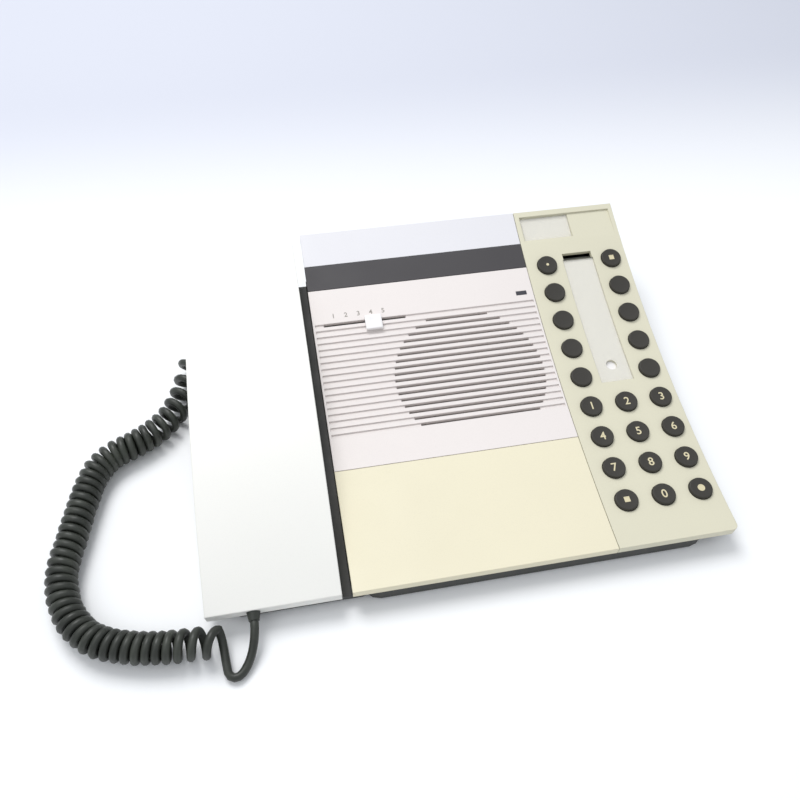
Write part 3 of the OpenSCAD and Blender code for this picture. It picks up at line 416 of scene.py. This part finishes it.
hand_white = plastic("handset_white", linear(238, 237, 232), 0.42, 0.012, 0.02, edge=0.0009)
rear_grey = plastic("rear_grey", linear(223, 222, 226), 0.45, 0.015, 0.02)
grille_warm = plastic("grille_warm", linear(229, 222, 219), 0.5, 0.015, 0.03)
front_cream = plastic("front_cream", linear(229, 222, 196), 0.5, 0.02, 0.03)
# The keypad cover is cream. Its cream is made darker than the front's as painted shade, for the dimmer
# light on the right.
keypad_cream_painted_shade = plastic("keypad_cream_painted_shade", linear(215, 211, 189), 0.5, 0.02, 0.03)
tray_dark = plastic("tray_dark", linear(66, 67, 64), 0.6, 0.06, 0.1, grain=1600, depth=0.00005)
deck_dark = plastic("deck_dark", linear(60, 60, 58), 0.55, 0.06, 0.1, grain=1600, depth=0.00005)
key_dark = plastic("key_dark", linear(60, 58, 54), 0.5, 0.08, 0.12, edge=0, gloss=0.25)
window_dark = plastic("window_dark", linear(72, 70, 72), 0.5, 0.05, 0.05, depth=0.000004, gloss=0.25)
lamp_dark = plastic("lamp_dark", linear(66, 66, 72), 0.45, 0.05, 0.05, depth=0.000004, gloss=0.3)
part_black = plastic("part_black", linear(40, 40, 40), 0.55, 0.1, 0.1)
plunger_pale = plastic("plunger_pale", linear(214, 214, 208), 0.4)
legend_cream = plastic("legend_cream", linear(212, 202, 168), 0.6, 0.05, 0.05, edge=0)
mark_grey = plastic("mark_grey", linear(150, 145, 138), 0.6, 0.05, 0.05, edge=0)
knob_white = plastic("knob_white", linear(238, 236, 236), 0.4, 0.012, 0.02, edge=0)
print("plastics mixed")


# %% [markdown]
# The cord's jacket is soft rubber: nearly black with a green cast, dull, with dust that catches the light.
# The feet, the line's bush and the key mats share the recipe with other tones.


# %% Rubber
def rubber(name, colour, dust, rough=0.5, grain=1500):
    finish, nodes, links, skin = new_finish(name)
    patches = noise(nodes, links, 60, 4.0, 0.6)
    tones = ramp(nodes, links, patches.outputs["Fac"], colour, dust, 0.42, 0.85)
    links.new(tones.outputs["Color"], skin.inputs["Base Color"])
    worn = noise(nodes, links, 130, 3.0)
    shine = spread(nodes, links, worn.outputs["Fac"], rough - 0.1, rough + 0.12)
    links.new(shine.outputs["Result"], skin.inputs["Roughness"])
    skin.inputs["Specular IOR Level"].default_value = 0.45
    grit = noise(nodes, links, grain, 3.0)
    bump = nodes.new("ShaderNodeBump")
    bump.inputs["Strength"].default_value = 0.4
    bump.inputs["Distance"].default_value = 0.00004
    links.new(grit.outputs["Fac"], bump.inputs["Height"])
    links.new(bump.outputs["Normal"], skin.inputs["Normal"])
    return finish


cord_rubber = rubber("cord_rubber", linear(42, 45, 40), linear(70, 74, 66), 0.45)
foot_rubber = rubber("foot_rubber", linear(34, 34, 34), linear(58, 57, 55), 0.7)
mat_rubber = rubber("mat_rubber", linear(128, 130, 124), linear(146, 146, 140), 0.6)
print("rubbers mixed")

# %% [markdown]
# The cord takes its rubber and stands for the model's plain tube.

# %% Dress the cord
cord.data.materials.append(cord_rubber)
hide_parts("curly_cord")
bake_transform(cord)

# %% [markdown]
# Inside and underneath are metal, card, cloth and circuit boards. They are seen through the slots, in the
# gaps and from below, so each gets a simple finish of its own kind: brushed metal from a stretched noise,
# a weave from two crossed waves, a lacquered board with faint tracks.


# %% Metals, boards, cloth and card
def metal(name, colour, rough=0.32, stretch=(1, 40, 1)):
    finish, nodes, links, skin = new_finish(name)
    lines = noise(nodes, links, 250, 3.0, 0.6, stretch)
    tones = ramp(nodes, links, lines.outputs["Fac"], shade(colour, 0.82), colour)
    links.new(tones.outputs["Color"], skin.inputs["Base Color"])
    shine = spread(nodes, links, lines.outputs["Fac"], rough - 0.08, rough + 0.12)
    links.new(shine.outputs["Result"], skin.inputs["Roughness"])
    skin.inputs["Metallic"].default_value = 1.0
    return finish


def weave(name, colour, threads=900.0):
    finish, nodes, links, skin = new_finish(name)
    where = nodes.new("ShaderNodeTexCoord")
    heights = []
    for direction in ("X", "Y"):
        wave = nodes.new("ShaderNodeTexWave")
        wave.bands_direction = direction
        wave.inputs["Scale"].default_value = threads
        wave.inputs["Distortion"].default_value = 0.4
        links.new(where.outputs["Object"], wave.inputs["Vector"])
        heights.append(wave)
    both = nodes.new("ShaderNodeMath")
    both.operation = "MULTIPLY"
    links.new(heights[0].outputs["Fac"], both.inputs[0])
    links.new(heights[1].outputs["Fac"], both.inputs[1])
    tones = ramp(nodes, links, both.outputs["Value"], shade(colour, 0.45), colour, 0.0, 0.8)
    links.new(tones.outputs["Color"], skin.inputs["Base Color"])
    skin.inputs["Roughness"].default_value = 0.9
    bump = nodes.new("ShaderNodeBump")
    bump.inputs["Strength"].default_value = 0.5
    bump.inputs["Distance"].default_value = 0.0001
    links.new(both.outputs["Value"], bump.inputs["Height"])
    links.new(bump.outputs["Normal"], skin.inputs["Normal"])
    return finish


def circuit(name, colour):
    finish, nodes, links, skin = new_finish(name)
    where = nodes.new("ShaderNodeTexCoord")
    tracks = nodes.new("ShaderNodeTexBrick")
    tracks.inputs["Scale"].default_value = 160.0
    tracks.inputs["Mortar Size"].default_value = 0.06
    tracks.inputs["Color1"].default_value = colour
    tracks.inputs["Color2"].default_value = shade(colour, 0.8)
    tracks.inputs["Mortar"].default_value = shade(colour, 1.7)
    links.new(where.outputs["Object"], tracks.inputs["Vector"])
    links.new(tracks.outputs["Color"], skin.inputs["Base Color"])
    cloud = noise(nodes, links, 80, 3.0)
    shine = spread(nodes, links, cloud.outputs["Fac"], 0.25, 0.4)
    links.new(shine.outputs["Result"], skin.inputs["Roughness"])
    return finish


def card_stock(name, colour):
    finish, nodes, links, skin = new_finish(name)
    fibres = noise(nodes, links, 1400, 4.0, 0.7, (1, 0.4, 1))
    tones = ramp(nodes, links, fibres.outputs["Fac"], shade(colour, 0.95), colour)
    links.new(tones.outputs["Color"], skin.inputs["Base Color"])
    skin.inputs["Roughness"].default_value = 0.85
    return finish


def clear_sheet(name):
    finish, nodes, links, skin = new_finish(name)
    scratches = noise(nodes, links, 300, 4.0, 0.7, (1, 12, 1))
    tones = ramp(nodes, links, scratches.outputs["Fac"], linear(236, 236, 232), linear(250, 250, 248))
    links.new(tones.outputs["Color"], skin.inputs["Base Color"])
    shine = spread(nodes, links, scratches.outputs["Fac"], 0.06, 0.2)
    links.new(shine.outputs["Result"], skin.inputs["Roughness"])
    skin.inputs["Alpha"].default_value = 0.16
    return finish


steel = metal("zinc_steel", linear(196, 196, 194))
tin = metal("capsule_tin", linear(168, 168, 166), 0.4, (1, 1, 20))
iron = metal("core_iron", linear(120, 108, 88), 0.5, (40, 1, 1))
ferrite = plastic("magnet_grey", linear(70, 70, 72), 0.7)
cloth = weave("speaker_weave", linear(214, 208, 204))
cone_card = weave("cone_card", linear(84, 80, 74), 500.0)
board_green = circuit("board_green", linear(62, 92, 56))
label_card = card_stock("label_card", linear(226, 222, 210))
clear_cover = clear_sheet("clear_cover")
print("inner finishes mixed")

# %% [markdown]
# Now every solid of the model whose shape is already right gets its finish in its own material slot.

# %% Finish the solids
FINISH_OF = {
    "base_tray": tray_dark, "cradle_deck": deck_dark, "rear_cover": rear_grey,
    "grille_cover": grille_warm, "front_panel": front_cream, "keypad_cover": keypad_cream_painted_shade,
    "display_window": window_dark, "lamp_board": board_green, "label_lens": clear_cover,
    "index_lens": clear_cover, "name_cards": label_card, "call_lamp": lamp_dark,
    "speaker_frame": steel, "speaker_cone": cone_card, "speaker_magnet": ferrite,
    # Painted highlight: the microphone capsule takes the knob's white so that the hole shows a bright spot.
    "speaker_cloth": cloth, "mic_capsule": knob_white, "key_mats": mat_rubber, "key_boards": board_green,
    "main_board": board_green, "board_parts": part_black, "line_transformer": iron,
    "volume_slider": part_black, "hook_switch": part_black, "case_screws": steel,
    "rubber_feet": foot_rubber, "line_bush": foot_rubber, "cord_bush": cord_rubber,
    "hook_plunger": plunger_pale, "handset_upper": hand_white,
    "handset_lower": hand_white, "receiver_capsule": tin, "transmitter_capsule": tin,
    "handset_screws": steel, "handset_bush": cord_rubber,
}
for node_name, finish in FINISH_OF.items():
    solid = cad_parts[node_name]
    solid.data.materials.clear()
    solid.data.materials.append(finish)
print("finished solids:", len(FINISH_OF))

# %% [markdown]
# A key is a low round cap with a softly rounded rim and a slightly hollow top for the fingertip. It could
# be turned from a profile, but starting from a cylinder is quicker: the top face is inset a few times, and
# all but the first ring are lowered a little, which gives the hollow. The rim gets a bevel. Under the cover
# the cap keeps its flange and its stem, which press the contact.


# %% Model one key
KEY_R, KEY_TOP = 5.8, 1.8
FLANGE_R, FLANGE_DEPTH, FLANGE_T = 6.6, 2.65, 0.8
STEM_R, STEM_GAP, TRAVEL, MAT_DEPTH = 3, 0.15, 1.2, 4.9
HOLLOW = ((0.7, 0.0), (0.6, 0.08), (1.0, 0.08), (1.3, 0.04))


def make_key(stem):
    bpy.ops.mesh.primitive_cylinder_add(
        vertices=56, radius=KEY_R * MM, depth=(KEY_TOP + FLANGE_DEPTH) * MM,
        location=(0, 0, (KEY_TOP - FLANGE_DEPTH) / 2 * MM))
    key = bpy.context.object
    key.name = "key_model"
    bpy.ops.object.transform_apply(location=True, rotation=True, scale=True)
    bpy.ops.object.mode_set(mode="EDIT")
    bpy.ops.mesh.select_mode(type="FACE")
    bpy.ops.mesh.select_all(action="DESELECT")
    bpy.ops.object.mode_set(mode="OBJECT")
    for face in key.data.polygons:
        face.select = face.normal.z > 0.9
    bpy.ops.object.mode_set(mode="EDIT")
    for inset, sink in HOLLOW:
        bpy.ops.mesh.inset(thickness=inset * MM, depth=0)
        bpy.ops.transform.translate(value=(0, 0, -sink * MM))
    bpy.ops.mesh.select_all(action="DESELECT")
    bpy.ops.object.mode_set(mode="OBJECT")
    for face in key.data.polygons:
        face.select = face.normal.z < -0.9
    bpy.ops.object.mode_set(mode="EDIT")
    bpy.ops.mesh.extrude_region_move(TRANSFORM_OT_translate={"value": (0, 0, 0)})
    bpy.ops.transform.resize(value=(FLANGE_R / KEY_R, FLANGE_R / KEY_R, 1))
    bpy.ops.mesh.extrude_region_move(TRANSFORM_OT_translate={"value": (0, 0, -FLANGE_T * MM)})
    bpy.ops.mesh.extrude_region_move(TRANSFORM_OT_translate={"value": (0, 0, 0)})
    bpy.ops.transform.resize(value=(STEM_R / FLANGE_R, STEM_R / FLANGE_R, 1))
    bpy.ops.mesh.extrude_region_move(TRANSFORM_OT_translate={"value": (0, 0, -stem * MM)})
    bpy.ops.mesh.select_all(action="SELECT")
    bpy.ops.mesh.normals_make_consistent(inside=False)
    bpy.ops.object.mode_set(mode="OBJECT")
    rim = key.modifiers.new("rim", "BEVEL")
    rim.limit_method = "ANGLE"
    rim.angle_limit = math.radians(60)
    rim.width = 0.45 * MM
    rim.segments = 4
    select_only(key)
    bpy.ops.object.modifier_apply(modifier="rim")
    smooth(key, 40)
    return key


FIRST_ROW, ROW, COLUMN, KEY_X0 = 24.4, 18.8, 20.0, SEAM_X + 12.5
rows = [
    ["key_m", "key_0", "key_c"], ["key_7", "key_8", "key_9"],
    ["key_4", "key_5", "key_6"], ["key_1", "key_2", "key_3"],
    ["line_key_left_4", "", "line_key_right_4"], ["line_key_left_3", "", "line_key_right_3"],
    ["line_key_left_2", "", "line_key_right_2"], ["line_key_left_1", "", "line_key_right_1"],
    ["call_key", "", "hold_key"],
]
for r, row in enumerate(rows):
    s = FIRST_ROW + ROW * r
    middle = FIRST_ROW + ROW * (2 if r < 5 else 6.5)
    reach = MAT_DEPTH + (s - middle) ** 2 / (2 * DISH_R) - FLANGE_DEPTH - FLANGE_T
    stem = reach - TRAVEL - STEM_GAP
    model = make_key(stem)
    for c, name in enumerate(row):
        if name:
            cap = copy_of(model, name + "_cap")
            finish_piece(cap, name, key_dark, (name,), on_top(KEY_X0 + COLUMN * c, s))
    bpy.data.objects.remove(model)
print("keys:", sum(1 for row in rows for n in row if n))

# %% [markdown]
# The slider's knob is a small white block with rounded edges and a shallow hollow for the finger. It starts
# as a cube, its top is inset and sunk, a neck is drawn down from its underside, and a bevel rounds it.

# %% Model the slider's knob
KNOB_W, KNOB_L, KNOB_H, KNOB_GAP = 9.5, 9.2, 2.2, 0.3
KNOB_X, KNOB_S, NECK_DOWN = -28.4, 150.5, 3.2
bpy.ops.mesh.primitive_cube_add(size=1)
knob = bpy.context.object
knob.name = "volume_knob_cap"
knob.scale = (KNOB_W * MM, KNOB_L * MM, KNOB_H * MM)
knob.location = (0, 0, (KNOB_GAP + KNOB_H / 2) * MM)
bpy.ops.object.transform_apply(location=True, rotation=True, scale=True)
for face in knob.data.polygons:
    face.select = face.normal.z > 0.9
bpy.ops.object.mode_set(mode="EDIT")
bpy.ops.mesh.select_mode(type="FACE")
bpy.ops.mesh.inset(thickness=1.5 * MM, depth=0)
bpy.ops.mesh.inset(thickness=1.3 * MM, depth=-0.25 * MM)
bpy.ops.mesh.select_all(action="DESELECT")
bpy.ops.object.mode_set(mode="OBJECT")
for face in knob.data.polygons:
    face.select = face.normal.z < -0.9
bpy.ops.object.mode_set(mode="EDIT")
bpy.ops.mesh.extrude_region_move(TRANSFORM_OT_translate={"value": (0, 0, 0)})
bpy.ops.transform.resize(value=(0.42, 0.15, 1))
bpy.ops.mesh.extrude_region_move(TRANSFORM_OT_translate={"value": (0, 0, -NECK_DOWN * MM)})
bpy.ops.mesh.select_all(action="SELECT")
bpy.ops.mesh.normals_make_consistent(inside=False)
bpy.ops.object.mode_set(mode="OBJECT")
rounded = knob.modifiers.new("rounded", "BEVEL")
rounded.limit_method = "ANGLE"
rounded.angle_limit = math.radians(50)
rounded.width = 0.55 * MM
rounded.segments = 4
select_only(knob)
bpy.ops.object.modifier_apply(modifier="rounded")
smooth(knob, 40)
finish_piece(knob, "slider_knob", knob_white, ("volume_knob",), on_top(KNOB_X, KNOB_S))
print("knob, mm:", [round(v * 1000, 1) for v in knob.dimensions])

# %% [markdown]
# The legends are printed in cream on the caps. Text becomes a mesh first, so that its place can be put
# into the mesh, and it stands about a tenth of a millimetre out of the hollow top.


# %% Print the legends
def printed(word, size, thickness=0.02):
    bpy.ops.object.text_add(location=(0, 0, 0))
    text = bpy.context.object
    text.data.body = word
    text.data.size = size * MM
    text.data.align_x = "CENTER"
    text.data.align_y = "CENTER"
    text.data.extrude = thickness * MM
    text.data.offset = 0.06 * MM
    text.data.resolution_u = 4
    select_only(text)
    bpy.ops.object.convert(target="MESH")
    piece = bpy.context.object
    xs = [v.co.x for v in piece.data.vertices]
    ys = [v.co.y for v in piece.data.vertices]
    piece.data.transform(Matrix.Translation((-(min(xs) + max(xs)) / 2, -(min(ys) + max(ys)) / 2, 0)))
    return piece


HOLLOW_DEPTH = sum(sink for inset, sink in HOLLOW)
legend_h = KEY_TOP - HOLLOW_DEPTH + 0.05
for r, row in enumerate(rows[:4]):
    for c, name in enumerate(row):
        if name[-1].isdigit():
            legend = printed(name[-1], 6.4, 0.05)
            legend.name = name + "_legend"
            finish_piece(legend, name, legend_cream, (),
                         on_top(KEY_X0 + COLUMN * c, FIRST_ROW + ROW * r, legend_h))
print("legends printed")

# %% [markdown]
# Four keys carry a small plain mark in the same cream: a dot or a square. Each is a thin plate that starts
# as a cylinder of few or many sides. The larger ones get a raised rim: the top is inset and sunk a little.


# %% Small marks on the other keys
def small_mark(name, sides, radius, line):
    bpy.ops.mesh.primitive_cylinder_add(vertices=sides, radius=radius * MM, depth=0.1 * MM)
    mark = bpy.context.object
    mark.name = name
    select_only(mark)
    if sides == 4:
        bpy.ops.transform.rotate(value=math.radians(45), orient_axis="Z", center_override=(0, 0, 0))
        bpy.ops.object.transform_apply(location=True, rotation=True, scale=True)
    for face in mark.data.polygons:
        face.select = face.normal.z > 0.9
    if line:
        bpy.ops.object.mode_set(mode="EDIT")
        bpy.ops.mesh.select_mode(type="FACE")
        bpy.ops.mesh.inset(thickness=line * MM, depth=0)
        bpy.ops.mesh.extrude_region_move(TRANSFORM_OT_translate={"value": (0, 0, -0.09 * MM)})
        bpy.ops.object.mode_set(mode="OBJECT")
    round_off = mark.modifiers.new("round_off", "BEVEL")
    round_off.limit_method = "ANGLE"
    round_off.width = 0.02 * MM
    round_off.segments = 2
    bpy.ops.object.modifier_apply(modifier="round_off")
    return mark


MARK_OF = {
    "call_key": (20, 0.85, 0.0), "hold_key": (4, 2.1, 0.4),
    "key_m": (4, 2.1, 0.4), "key_c": (28, 1.9, 0.4),
}
for r, row in enumerate(rows):
    for c, name in enumerate(row):
        if name in MARK_OF:
            sides, radius, line = MARK_OF[name]
            mark = small_mark(name + "_mark", sides, radius, line)
            finish_piece(mark, name, legend_cream, (),
                         on_top(KEY_X0 + COLUMN * c, FIRST_ROW + ROW * r, legend_h))
print("small marks:", len(MARK_OF))

# %% [markdown]
# Five plain numbers stand behind the slider's slot. They are printed on the cover in a soft brownish grey,
# so they are thin meshes that lie on the dished top.

# %% Marks of the volume slider
VOLUME_X0, VOLUME_PITCH, VOLUME_S = -50.3, 7.1, 158.1
for k in range(5):
    mark = printed(str(k + 1), 4.0)
    mark.name = "volume_mark_" + str(k + 1)
    finish_piece(mark, "base", mark_grey, (), on_top(VOLUME_X0 + VOLUME_PITCH * k, VOLUME_S, 0.02))
print("volume marks printed")

# %% [markdown]
# The stage is a plain pale floor whose colour turns to a cool grey behind the object: that grey is painted
# shade, standing for the backdrop falling away from the light. The light is a wide soft lamp high behind
# and to the left, a weak one at the left front, and an even pale sky, so that the shadows stay soft and
# short as in the photograph.

# %% Floor, lamps and sky
bpy.ops.mesh.primitive_plane_add(size=6, location=(0, 0, 0))
floor = bpy.context.object
floor.name = "floor"
floor_finish, nodes, links, skin = new_finish("floor_white_painted_shade")
where = nodes.new("ShaderNodeTexCoord")
axes = nodes.new("ShaderNodeSeparateXYZ")
links.new(where.outputs["Object"], axes.inputs["Vector"])
depth = nodes.new("ShaderNodeMapRange")
depth.interpolation_type = "SMOOTHSTEP"
depth.inputs["From Min"].default_value = 0.08
depth.inputs["From Max"].default_value = 0.36
links.new(axes.outputs["Y"], depth.inputs["Value"])
# Painted shade: the floor's colour darkens to a cool grey further back, where the backdrop falls away from
# the light.
tones = ramp(nodes, links, depth.outputs["Result"], linear(247, 248, 249), linear(202, 205, 216), 0.0, 1.0)
links.new(tones.outputs["Color"], skin.inputs["Base Color"])
skin.inputs["Roughness"].default_value = 0.9
floor.data.materials.append(floor_finish)


def soft_lamp(name, place, aim, size, power):
    lamp = bpy.data.lights.new(name, "AREA")
    lamp.shape = "DISK"
    lamp.size = size
    lamp.energy = power
    holder = bpy.data.objects.new(name, lamp)
    scene.collection.objects.link(holder)
    holder.location = place
    holder.rotation_euler = (Vector(aim) - Vector(place)).to_track_quat("-Z", "Y").to_euler()
    return holder


soft_lamp("key_lamp", (-0.3, 0.65, 1.25), (0, 0, 0), 0.8, 12.5)
soft_lamp("fill_lamp", (-0.7, -0.3, 1.2), (0, 0, 0), 1.0, 1.8)
world = bpy.data.worlds.new("sky")
scene.world = world
world.use_nodes = True
sky = world.node_tree.nodes["Background"]
sky.inputs["Color"].default_value = (0.93, 0.96, 1.0, 1.0)
sky.inputs["Strength"].default_value = 0.68
scene.view_settings.view_transform = "Standard"
print("stage set")
